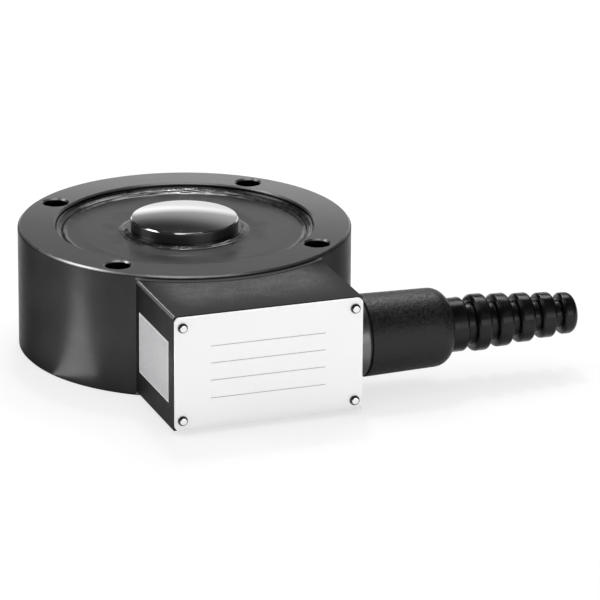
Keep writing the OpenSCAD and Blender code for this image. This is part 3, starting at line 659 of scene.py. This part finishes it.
def finished_mesh(mesh, sharp=35.0):
    """Merges doubles, turns faces outwards and shades smooth except at sharp edges."""
    shape = bmesh.new()
    shape.from_mesh(mesh)
    bmesh.ops.remove_doubles(shape, verts=shape.verts, dist=1e-7)
    bmesh.ops.dissolve_degenerate(shape, edges=shape.edges, dist=1e-8)
    bmesh.ops.recalc_face_normals(shape, faces=shape.faces)
    shape.to_mesh(mesh)
    shape.free()
    mesh.shade_smooth()
    mesh.set_sharp_from_angle(angle=math.radians(sharp))
    return mesh


def turned_places(outline, origin, axis, steps=192):
    """Places of an outline swept round an axis: origin + s axis + r (cos t e1 + sin t e2)."""
    axis = np.array(axis, float)
    e1 = np.cross(axis, [0.0, 0.0, 1.0] if abs(axis[2]) < 0.5 else [0.0, 1.0, 0.0])
    e1 /= np.linalg.norm(e1)
    e2 = np.cross(axis, e1)
    t = np.linspace(0, 2 * np.pi, steps, endpoint=False)
    spokes = np.cos(t)[:, None] * e1 + np.sin(t)[:, None] * e2
    s, r = outline[:, 0], outline[:, 1]
    return np.array(origin) + s[:, None, None] * axis + r[:, None, None] * spokes[None]


def piece(name, mesh, slot, *nodes):
    """Puts a mesh in the scene as a piece that rides on the body and stands for CAD nodes."""
    thing = in_scene(name, mesh)
    mesh.materials.append(materials[slot])
    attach(thing, "root")
    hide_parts(*nodes)
    mesh.calc_loop_triangles()
    print(f"{name}: {len(mesh.vertices)} points, {len(mesh.loop_triangles)} triangles")


# %% [markdown]
# ## Pieces that keep their CAD shape
#
# The ring, the block and the other machined solids are right as they are, but the CAD
# mesh is loose triangles, which look faceted. A copy is merged and shaded smooth except
# at its sharp edges. Edit Mode could do it by hand, but a loop treats all nine alike.

# %% Merged copies of machined solids
def bare_copy(node, name):
    """The points and triangles of a CAD node in a new mesh, without its stored normals."""
    source = cad[node].data
    places, corners = np.empty(3 * len(source.vertices)), np.empty(len(source.loops), np.int32)
    source.vertices.foreach_get("co", places)
    source.loops.foreach_get("vertex_index", corners)
    mesh = bpy.data.meshes.new(name)
    mesh.from_pydata(places.reshape(-1, 3).tolist(), [], corners.reshape(-1, 3).tolist())
    return mesh


SMOOTHED = (("spring_element", "ring_body", "body_black"),
            ("junction_block", "block_body", "block_paint"),
            ("top_diaphragm", "thin_diaphragm", "diaphragm_paint"),
            ("bottom_cover", "under_cover", "cover_steel"),
            ("bottom_cover_screws", "under_cover_screws", "screw_steel"),
            ("cover_plate", "front_plate", "plate_aluminium"),
            ("plate_gasket", "front_gasket", "gasket"),
            ("block_gasket", "saddle_gasket", "gasket"),
            ("side_label", "left_label", "label_film"))
for node, name, finish in SMOOTHED:
    piece(name, finished_mesh(bare_copy(node, name), sharp=30.0), finish, node)

# %% [markdown]
# ## Load button
#
# The button is turned and polished: a straight side wall, a small chamfer, and a domed
# face that keeps the load in the middle. Below it a stem seats in the hub. The dome is
# part of a large sphere: at radius r it lies R minus the root of R squared minus r
# squared below its top. A sphere could be cut, but a profile brings the wall along.

# %% Button
button_r = button_high[0]
stem_r, dome_r, chamfer = 8.0, 120.0, 0.4
rim_r = button_r - chamfer
dome_reach = rim_r * np.linspace(1, 0, 40)
dome = np.stack([button_high[2] - dome_r + np.sqrt(dome_r ** 2 - dome_reach ** 2), dome_reach], 1)
wall = rounded([[button_low[2], 0], [button_low[2], stem_r], [BOSS_Z, stem_r], [BOSS_Z, button_r],
                [WALL_TOP - chamfer, button_r], [WALL_TOP, rim_r]], [0, 0.3, 0, 0.15, 0.12, 0])
outline = np.concatenate([wall[:-1], dome])
button = turned_places(outline, (0, 0, 0), (0, 0, 1))
piece("button", grid_mesh("button", button), "button_chrome", "load_button")

# %% [markdown]
# ## Gland: collar, seal, housing and boot
#
# All four turn about the cable's axis. Each profile follows the CAD sizes, with small
# radii where real edges are broken, and the boot's ribs get their soft moulded edges.
# The CAD meshes could be bevelled, but a swept profile gives evener faces.

# %% Collar and its seal
def along_gland(outline):
    """Sweeps an outline of (place along X, radius) about the gland's axis."""
    return turned_places(np.array(outline), GLAND_CENTRE, (1, 0, 0))


collar_r, bore_r, rear_r, front_r = (collar_high[2] - collar_low[2]) / 2, 5.0, 8.0, 11.0
back, face, step, front = collar_low[0], block_high[0], seal_low[0], collar_high[0]
collar = rounded([[back, bore_r], [back, rear_r], [face, rear_r], [face, collar_r], [step, collar_r],
                  [step, front_r], [front, front_r], [front, bore_r], [back, bore_r]],
                 [0, 0.3, 0, 0.35, 0.35, 0, 0.3, 0.3, 0])
piece("collar", grid_mesh("collar", along_gland(collar)), "collar_metal", "gland_collar")

seal_r, seal_bore = (seal_high[2] - seal_low[2]) / 2, front_r + 0.05
ring_seal = rounded([[seal_low[0], seal_bore], [seal_low[0], seal_r], [seal_high[0], seal_r],
                     [seal_high[0], seal_bore], [seal_low[0], seal_bore]], [0, 0.2, 0.2, 0, 0])
piece("joint_seal", grid_mesh("joint_seal", along_gland(ring_seal)), "gasket", "collar_seal")

# %% Housing: its shoulder is a quarter round that ends at the outlet
housing_r = (housing_high[2] - housing_low[2]) / 2
end_r, shoulder, outlet_r, wide_to = 14.05, 6.6, 9.8, 66.5
arc_r = end_r - shoulder
arc_end = math.asin((outlet_r - arc_r) / shoulder)
arc_t = np.linspace(math.pi / 2, arc_end, 24)
arc_x = housing_high[0] - shoulder * math.cos(arc_end)
arc = np.stack([arc_x + shoulder * np.cos(arc_t), arc_r + shoulder * np.sin(arc_t)], 1)
start = rounded([[housing_low[0], seal_bore], [housing_low[0], housing_r], arc[0]], [0, 0.4, 0])
inside = [[wide_to, outlet_r], [wide_to, seal_bore], [housing_low[0], seal_bore]]
housing = along_gland(np.concatenate([start, arc[1:], inside]))
piece("housing", grid_mesh("housing", housing), "housing_paint", "gland_housing")

# %% Boot
RIBS, RIB_W, NECK_W, NECK_DEPTH, SAG = 5, 5.7, 2.8, 2.5, 0.5
FIRST_RIB_R, RIB_TAPER = 10.15, 0.675
RIB_ROUND, END_ROUND, NECK_ROUND = 1.3, 2.8, 0.35
root_end, root_r, flange_r, cable_r = 80.0, 9.7, 11.0, 4.0
corners = [[boot_low[0], cable_r], [boot_low[0], flange_r], [wide_to, flange_r], [wide_to, root_r],
           [root_end, root_r]]
radii = [0, 0.4, 0.2, 0, RIB_ROUND]
for i in range(RIBS):
    r = FIRST_RIB_R - RIB_TAPER * i
    x = root_end + NECK_W + i * (RIB_W + NECK_W)
    last = i == RIBS - 1
    x_end = boot_high[0] if last else x + RIB_W
    corners += [[x - NECK_W, r - NECK_DEPTH], [x, r - NECK_DEPTH], [x, r], [x_end, r]]
    radii += [NECK_ROUND, NECK_ROUND, RIB_ROUND, END_ROUND if last else RIB_ROUND]
corners += [[boot_high[0], cable_r], [boot_low[0], cable_r]]
radii += [0.3, 0]
boot = along_gland(rounded(corners, radii, steps=9))
free = np.clip((boot[..., 0] - housing_high[0]) / (boot_high[0] - housing_high[0]), 0, 1)
boot[..., 2] -= SAG * free ** 2
piece("boot", grid_mesh("boot", boot), "boot_rubber", "strain_relief")

# %% [markdown]
# ## Plate screws
#
# Four small flat heads with rounded rims hold the plate, each on a straight shank. They
# are one repeated profile, joined into one piece because the CAD model has one node for
# all four. Array modifiers would repeat them too, but a loop leaves a plain mesh.

# %% Screws with flat heads and rounded rims
HEAD_R, HEAD_H, HEAD_ROUND, SHANK_R = 1.75, 1.2, 1.0, 1.0
head = rounded([[plate_low[1] - HEAD_H, 0], [plate_low[1] - HEAD_H, HEAD_R], [plate_low[1], HEAD_R]],
               [0, HEAD_ROUND, 0], steps=10)
shank = rounded([[plate_low[1], HEAD_R], [plate_low[1], SHANK_R], [screws_high[1], SHANK_R],
                 [screws_high[1], 0]], [0, 0, 0.2, 0])
screw = np.concatenate([head, shank[1:]])
heads = bmesh.new()
for side_x, side_z in ((-1, -1), (-1, 1), (1, -1), (1, 1)):
    spot = (side_x * SCREW_X, 0, PLATE_MIDDLE + side_z * SCREW_Z)
    one = grid_mesh("screw", turned_places(screw, spot, (0, 1, 0), 48))
    heads.from_mesh(one)
    bpy.data.meshes.remove(one)
screws = bpy.data.meshes.new("plate_screw_heads")
heads.to_mesh(screws)
heads.free()
piece("plate_screw_heads", finished_mesh(screws), "plate_screw_steel", "plate_screws")

# %% [markdown]
# ## Sealant beads
#
# A hand-laid bead is never even. Its section is a closed loop in the plane of radius and
# height, and waves of several lengths move its crest as it goes round. They are sums of
# sines with whole numbers of turns, so that the bead closes on itself. A displacement
# texture would do too, but sines keep the bead inside its groove.
#
# The bead at the rim lies low by the disc and climbs steeply to the ring's step. At the
# back it is lumpier and climbs as a slope. The bead at the button's foot has a ridge
# against the boss and a low skirt that runs out.

# %% Helpers for beads
ROUND = np.linspace(0, 2 * np.pi, 720, endpoint=False)


def waves(turns, phases, sizes):
    """Sum of size * sin(turns * angle + phase), one value for each angle of ROUND."""
    turns, phases, sizes = (np.array(v, float)[:, None] for v in (turns, phases, sizes))
    return (sizes * np.sin(turns * ROUND[None] + phases)).sum(0)


def hump(place, middle, width):
    """A soft hump that is 1 at its middle: e to the minus ((place - middle) / width) squared."""
    return np.exp(-((place - middle) / width) ** 2)


def bead_piece(name, rows, node):
    """Sweeps rows of (radii, heights), each one value or one for each angle, into a closed bead."""
    radii, heights = (np.stack([np.broadcast_to(row[i], ROUND.shape) for row in rows]) for i in (0, 1))
    bead = np.stack([radii * np.cos(ROUND), radii * np.sin(ROUND), heights], -1)
    piece(name, grid_mesh(name, bead, closed=True, sharp=60.0), "sealant", node)


# %% Bead at the diaphragm's rim
BACK_ANGLE, BACK_SPREAD, CALM = 76, 30, 0.22
BULGE_H, BULGE_LOSS, SECOND_H, OVERLAP, DISC_T = 0.42, 0.17, 0.16, 0.25, 1.0
rim_in, rim_out, rim_base = 42.3, rim_high[0], rim_low[2]
face_z = rim_base + DISC_T
s = np.linspace(0, 1, 26)[:, None]
at_back = hump(np.degrees(ROUND), BACK_ANGLE, BACK_SPREAD)
liveliness = CALM + (1 - CALM) * at_back
crest = liveliness * waves((5, 11, 23, 41), (0.4, 2.1, 4.0, 1.3), (0.16, 0.12, 0.10, 0.05))
lumps = liveliness * waves((7, 17, 31), (1.0, 3.0, 5.0), (0.10, 0.10, 0.07))
climb = (1 - at_back) * s ** 6 + at_back * (0.55 * s + 0.45 * s ** 6)
bulge = np.maximum(BULGE_H - BULGE_LOSS * at_back + crest, 0) * hump(s, 0.30, 0.16)
second = (SECOND_H + lumps) * hump(s, 0.72, 0.10) * (s < 0.95)
top = np.minimum(face_z + (rim_high[2] - face_z) * climb + bulge + second, rim_high[2] - 0.02 * (1 - s))
across = rim_in - OVERLAP * (1 + 2 * crest) * (1 - s) + (rim_out - rim_in) * s
bead_piece("rim_bead", [*zip(across, top), (rim_out, rim_base), (rim_in, rim_base)], "rim_sealant")

# %% Bead at the button's foot
RIDGE_H, RIDGE_FROM, RIDGE_RUN, SKIRT_H, SKIRT_FROM = 0.62, 0.12, 0.50, 0.16, 0.45
foot_width, foot_base, foot_rise = foot_high[0] - BOSS_R, foot_low[2], foot_high[2] - foot_low[2]
s = np.linspace(0, 1, 24)[:, None]
spread = waves((3, 7, 13, 29), (0.2, 1.7, 3.1, 0.5), (0.08, 0.14, 0.12, 0.06))
across = BOSS_R + foot_width * (0.84 + 0.16 * spread) * s
fall = np.clip((s - RIDGE_FROM) / RIDGE_RUN, 0, 1)
ridge = (RIDGE_H + 0.4 * spread) * (1 - fall ** 2 * (3 - 2 * fall))
skirt = SKIRT_H * (1 - np.clip((s - SKIRT_FROM) / (1 - SKIRT_FROM), 0, 1) ** 2)
top = foot_base + foot_rise * (ridge + skirt)
bead_piece("button_bead", [*zip(across, top), (BOSS_R, foot_base)], "button_sealant")

# %% [markdown]
# ## Pieces inside
#
# These keep their CAD nodes and take their finishes through the material slots of their
# objects. They could be modelled anew, but nothing of them shows from outside.

# %% Finishes for the CAD nodes that stay
INNER = {
    "clamp_ring": "screw_steel", "wire_loom": "wire_red", "block_screws": "screw_black",
    "circuit_board": "board_green", "board_screws": "screw_steel", "cable_seal": "seal_rubber",
    **{f"strain_gauge_{i}": "gauge_foil" for i in range(1, 9)},
    **{f"solder_terminal_{i}": "terminal_copper" for i in range(1, 5)},
    **{f"trim_resistor_{i}": "resistor_ceramic" for i in range(1, 5)}}
for node, finish in INNER.items():
    thing = cad[node]
    if not thing.material_slots:
        thing.data.materials.append(None)
    for held in thing.material_slots:
        held.material = materials[finish]
print("inner nodes dressed:", len(INNER))

# %% [markdown]
# ## Floor, world and lights
#
# The object stands on a pale floor in front of a white sweep. The camera sees white all
# round, but polished metal mirrors the sweep only up to some twenty degrees above the
# horizon, and the dark room above it, which draws the dark curve across the button. So
# the world's strength for mirrored rays falls with height, sooner on the left, and it
# is low on the right.
#
# The floor is white to the camera, keeps part of its own shading so that the object's
# shadow shows, and is dark to mirrored rays close by, where the object shades it. In front
# of the cover plate it has a bright patch, like a card, and four lit cards of rising
# height stand behind the object. They brighten the back of the ring's top and not its
# front, because only a low ray from the back of the top meets them. Soft boxes hang above
# and at the sides, a small strong one high behind draws glints on the beads, and a strip
# on the floor lights the ring's left. One picture could light it all, but lamps can move.

# %% Floor
def floor_plane(name, half, z):
    """A square of side 2 * half metres at height z millimetres."""
    mesh = bpy.data.meshes.new(name)
    corner = np.array([[-1, -1], [1, -1], [1, 1], [-1, 1]]) * half
    mesh.from_pydata([(x, y, z * MM) for x, y in corner.tolist()], [], [(0, 1, 2, 3)])
    thing = in_scene(name, mesh)
    return thing


def empty_tree(owner):
    """The node tree of a material or a world, with nothing in it."""
    owner.use_nodes = True
    owner.node_tree.nodes.clear()
    return owner.node_tree


FLOOR_CAMERA, FLOOR_NEAR, FLOOR_FAR = 0.72, 0.1, 0.9
NEAR_REACH, FAR_REACH = 0.12, 0.6
CARD_FRONT, CARD_LEFT, CARD_RIGHT = (-0.093, -0.100), (-0.060, -0.035), (0.070, 0.045)
floor = floor_plane("studio_floor", 4.0, -0.02)
material = bpy.data.materials.new("floor_white")
tree = empty_tree(material)
path = add(tree, "LightPath").outputs
ground = add(tree, "TexCoord").outputs["Object"]
middle = {"Vector": ground, "Location": (0.03, -0.02, 0.0), "Scale": (1.4, 1.0, 1.0)}
from_middle = add(tree, "Mapping", middle, vector_type="TEXTURE").outputs[0]
spot = split(tree, ground)
card = product(tree, ramp(tree, spot["Y"], *CARD_FRONT, 0.0, FLOOR_FAR), ramp(tree, spot["X"], *CARD_LEFT),
               ramp(tree, spot["X"], *CARD_RIGHT))
round_about = ramp(tree, length_of(tree, from_middle), NEAR_REACH, FAR_REACH, FLOOR_NEAR, FLOOR_FAR)
mirrored = product(tree, calc(tree, "MAXIMUM", path["Is Glossy Ray"], path["Is Transmission Ray"]),
                   calc(tree, "MAXIMUM", card, round_about))
seen = calc(tree, "MAXIMUM", product(tree, path["Is Camera Ray"], FLOOR_CAMERA), mirrored)
matte = add(tree, "BsdfDiffuse", {"Color": (*grey(0.93), 1.0)})
white = add(tree, "Emission", {"Color": (*grey(1.0), 1.0), "Strength": 1.0})
mixed = add(tree, "MixShader", {0: seen, 1: matte.outputs[0], 2: white.outputs[0]})
add(tree, "OutputMaterial", {"Surface": mixed.outputs[0]})
floor.data.materials.append(material)

# %% World: bright low down, dark above, and darker at both sides
FILL, LEFT_RISE = 0.5, 0.48
SWEEP = ((-10, 0.08), (8, 0.08), (14, 0.42), (18, 0.42), (22, 0.31), (25, 0.20), (28, 0.09),
         (32, 0.03), (38, 0.02), (90, 0.02))
RIGHT_DIMS, BACK_RETURNS = (32.0, 55.0, 1.0, 0.12), (95.0, 130.0, 0.0, 0.7)
world = bpy.data.worlds.new("studio")
bpy.context.scene.world = world
tree = empty_tree(world)
direction = add(tree, "TexCoord").outputs["Generated"]
rightward = reach_along(tree, direction, tuple(level))
onward = reach_along(tree, direction, (-level.y, level.x, 0.0))
rise = calc(tree, "SUBTRACT", split(tree, direction)["Z"], product(tree, rightward, LEFT_RISE))
bearing = calc(tree, "DEGREES", calc(tree, "ARCTAN2", rightward, onward))
beside = calc(tree, "ADD", ramp(tree, bearing, *RIGHT_DIMS), ramp(tree, bearing, *BACK_RETURNS))
stops = add(tree, "ValToRGB", {"Fac": rise})
while len(stops.color_ramp.elements) < len(SWEEP):
    stops.color_ramp.elements.new(0.5)
for stop, (elevation, shade) in zip(stops.color_ramp.elements, SWEEP):
    stop.position = max(0.0, math.sin(math.radians(elevation)))
    stop.color = (*grey(shade), 1.0)
mirrored = product(tree, add(tree, "RGBToBW", {0: stops.outputs[0]}).outputs[0], beside)
path = add(tree, "LightPath").outputs
shiny = calc(tree, "MAXIMUM", path["Is Glossy Ray"], path["Is Transmission Ray"])
plain = calc(tree, "ADD", product(tree, path["Is Camera Ray"], 1.0 - FILL), FILL)
strength = add(tree, "Mix", {0: shiny, 2: plain, 3: mirrored}, data_type="FLOAT").outputs[0]
back = add(tree, "Background", {"Color": (*grey(1.0), 1.0), "Strength": strength})
add(tree, "OutputWorld", {"Surface": back.outputs[0]})


# %% Soft boxes, cards and the strip
def area_light(name, place, turn, width, height, radiance):
    """A lit rectangle at a place in metres, which the camera can't see. Its power is
    radiance * pi * area, so it keeps its brightness when it is resized."""
    lamp = bpy.data.lights.new(name, "AREA")
    lamp.shape, lamp.size, lamp.size_y = "RECTANGLE", width, height
    lamp.energy = radiance * math.pi * width * height
    thing = in_scene(name, lamp)
    thing.location = place
    thing.rotation_euler = turn
    thing.visible_camera = False
    print(f"{name}: {lamp.energy:.3f} W")


def outwards(azimuth, elevation=0.0):
    """A unit direction from the object. Azimuth 0 is in front of the block, 90 on its right."""
    az, el = math.radians(azimuth), math.radians(elevation)
    return Vector((math.sin(az) * math.cos(el), -math.cos(az) * math.cos(el), math.sin(el)))


def soft_box(name, azimuth, elevation, distance, width, height, radiance):
    """A light that hangs somewhere and looks at the object, with its lengths in metres."""
    away = outwards(azimuth, elevation)
    area_light(name, away * distance, away.to_track_quat("Z", "Y").to_euler(), width, height, radiance)


def white_card(name, azimuth, distance, width, height, radiance):
    """A lit card that stands on the floor and faces the object, with lengths in millimetres."""
    away = outwards(azimuth)
    middle = (away * distance + Vector((0, 0, height / 2))) * MM
    area_light(name, middle, away.to_track_quat("Z", "Y").to_euler(), width * MM, height * MM, radiance)


def floor_strip(name, start, heading, length, width, radiance):
    """A strip of light that lies on the floor and shines up. It starts at a point in
    millimetres and runs along a heading, counted from +X towards +Y."""
    turn = math.radians(heading)
    middle = Vector(start) + 0.5 * length * Vector((math.cos(turn), math.sin(turn), 0))
    area_light(name, middle * MM, (math.pi, 0, turn), length * MM, width * MM, radiance)


BOXES = (("key_box", 146, 53, 1.0, 0.6, 0.3, 6.0),
         ("high_box", 163, 66, 1.0, 0.11, 0.11, 55.0),
         ("top_box", 0, 88, 0.9, 0.6, 0.6, 1.0),
         ("left_box", -108, 34, 1.5, 0.7, 1.1, 2.5),
         ("front_box", 20, 12, 1.2, 0.9, 0.4, 2.0))
CARD_HEIGHTS = (85, 90, 95, 101)
for box in BOXES:
    soft_box(*box)
for i, height in enumerate(CARD_HEIGHTS, 1):
    white_card(f"back_card_{i}", 151, 157 + 3 * i, 280, height, 0.20)
floor_strip("left_strip", (-58.0, -31.0, 0.4), 174, 125, 22, 3.5)

bpy.context.scene.view_settings.view_transform = "Standard"
